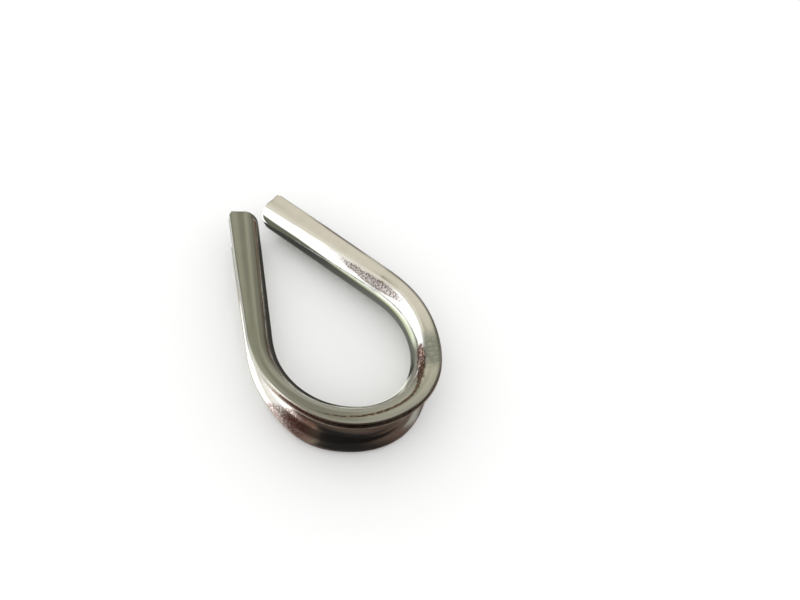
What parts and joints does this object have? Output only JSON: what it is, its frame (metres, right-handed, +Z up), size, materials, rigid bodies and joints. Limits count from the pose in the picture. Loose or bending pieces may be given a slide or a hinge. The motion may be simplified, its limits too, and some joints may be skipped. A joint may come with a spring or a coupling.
{
  "type": "wire rope thimble",
  "caption": "Teardrop wire rope thimble rolled from one strip of polished stainless sheet, with an open outer groove for the rope and a smooth eye for a pin or hook.",
  "frame": {"origin": "bottom centre of the bounding box, on the table the thimble lies on", "axes": "+X from the cut leg ends to the crown, +Y across the eye, +Z up off the table; the thimble rests on the crown's lower lip and the lower corners of both legs, so its mid plane tips 2.5 degrees down towards the legs"},
  "size_m": [0.0298, 0.0182, 0.0063],
  "materials": {
    "polished_stainless": "bright rolled stainless sheet, mirror-like on the bends, faint satin grain on the flanges, raw sheared edges"
  },
  "bodies": {
    "root": {"thimble": "polished_stainless"}
  },
  "joints": []
}
